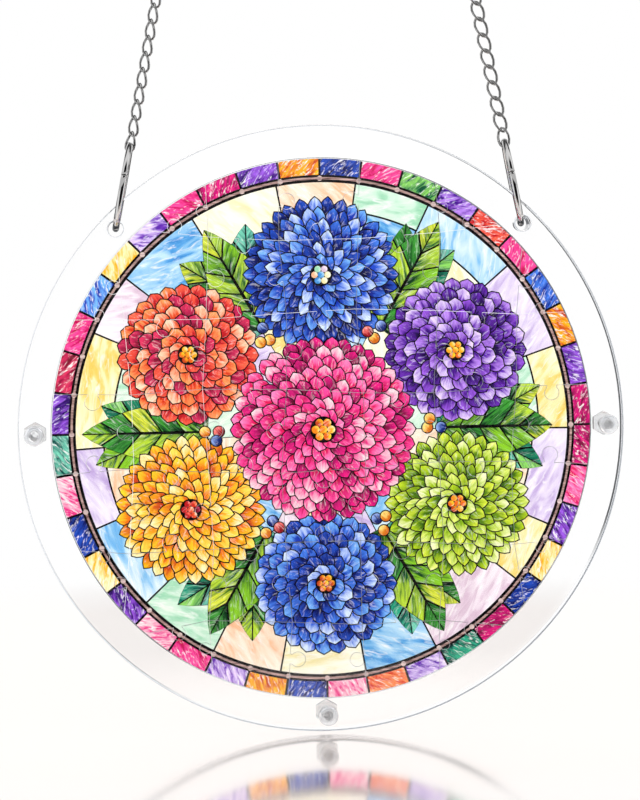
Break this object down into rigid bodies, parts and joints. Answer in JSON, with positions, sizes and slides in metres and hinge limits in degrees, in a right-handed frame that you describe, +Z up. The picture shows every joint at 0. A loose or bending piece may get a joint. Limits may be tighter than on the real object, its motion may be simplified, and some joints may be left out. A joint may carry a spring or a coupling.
{
  "type": "hanging suncatcher",
  "caption": "Round hanging suncatcher: a jigsaw picture between two clear plates held by plastic screws, on two rings and two curb chains that meet in a hanging ring.",
  "frame": {"origin": "where a hook bears, at the top of the inside of the hanging ring", "axes": "+Z up along the line it hangs on, +X to the viewer's right, the picture faces -Y"},
  "size_m": [0.2, 0.0294, 0.5242],
  "materials": {
    "clear_acrylic": "clear, polished",
    "clear_fastener": "clear, moulded",
    "printed_acrylic": "printed with a bright stained-glass style picture",
    "polished_steel": "polished"
  },
  "bodies": {
    "root": {"backing_tray": "clear_acrylic", "chain_left": "polished_steel", "chain_right": "polished_steel", "cover_plate": "clear_acrylic", "hanging_ring": "polished_steel", "jump_ring_left": "polished_steel", "jump_ring_right": "polished_steel", "nut_bottom": "clear_fastener", "nut_left": "clear_fastener", "nut_right": "clear_fastener", "puzzle_piece_row1_column2": "printed_acrylic", "puzzle_piece_row1_column3": "printed_acrylic", "puzzle_piece_row1_column4": "printed_acrylic", "puzzle_piece_row1_column5": "printed_acrylic", "puzzle_piece_row1_column6": "printed_acrylic", "puzzle_piece_row2_column1": "printed_acrylic", "puzzle_piece_row2_column2": "printed_acrylic", "puzzle_piece_row2_column3": "printed_acrylic", "puzzle_piece_row2_column4": "printed_acrylic", "puzzle_piece_row2_column5": "printed_acrylic", "puzzle_piece_row2_column6": "printed_acrylic", "puzzle_piece_row2_column7": "printed_acrylic", "puzzle_piece_row3_column1": "printed_acrylic", "puzzle_piece_row3_column2": "printed_acrylic", "puzzle_piece_row3_column3": "printed_acrylic", "puzzle_piece_row3_column4": "printed_acrylic", "puzzle_piece_row3_column5": "printed_acrylic", "puzzle_piece_row3_column6": "printed_acrylic", "puzzle_piece_row3_column7": "printed_acrylic", "puzzle_piece_row4_column1": "printed_acrylic", "puzzle_piece_row4_column2": "printed_acrylic", "puzzle_piece_row4_column3": "printed_acrylic", "puzzle_piece_row4_column4": "printed_acrylic", "puzzle_piece_row4_column5": "printed_acrylic", "puzzle_piece_row4_column6": "printed_acrylic", "puzzle_piece_row4_column7": "printed_acrylic", "puzzle_piece_row5_column1": "printed_acrylic", "puzzle_piece_row5_column2": "printed_acrylic", "puzzle_piece_row5_column3": "printed_acrylic", "puzzle_piece_row5_column4": "printed_acrylic", "puzzle_piece_row5_column5": "printed_acrylic", "puzzle_piece_row5_column6": "printed_acrylic", "puzzle_piece_row5_column7": "printed_acrylic", "puzzle_piece_row6_column1": "printed_acrylic", "puzzle_piece_row6_column2": "printed_acrylic", "puzzle_piece_row6_column3": "printed_acrylic", "puzzle_piece_row6_column4": "printed_acrylic", "puzzle_piece_row6_column5": "printed_acrylic", "puzzle_piece_row6_column6": "printed_acrylic", "puzzle_piece_row6_column7": "printed_acrylic", "puzzle_piece_row7_column2": "printed_acrylic", "puzzle_piece_row7_column3": "printed_acrylic", "puzzle_piece_row7_column4": "printed_acrylic", "puzzle_piece_row7_column5": "printed_acrylic", "puzzle_piece_row7_column6": "printed_acrylic", "screw_bottom": "clear_fastener", "screw_left": "clear_fastener", "screw_right": "clear_fastener"}
  },
  "joints": []
}
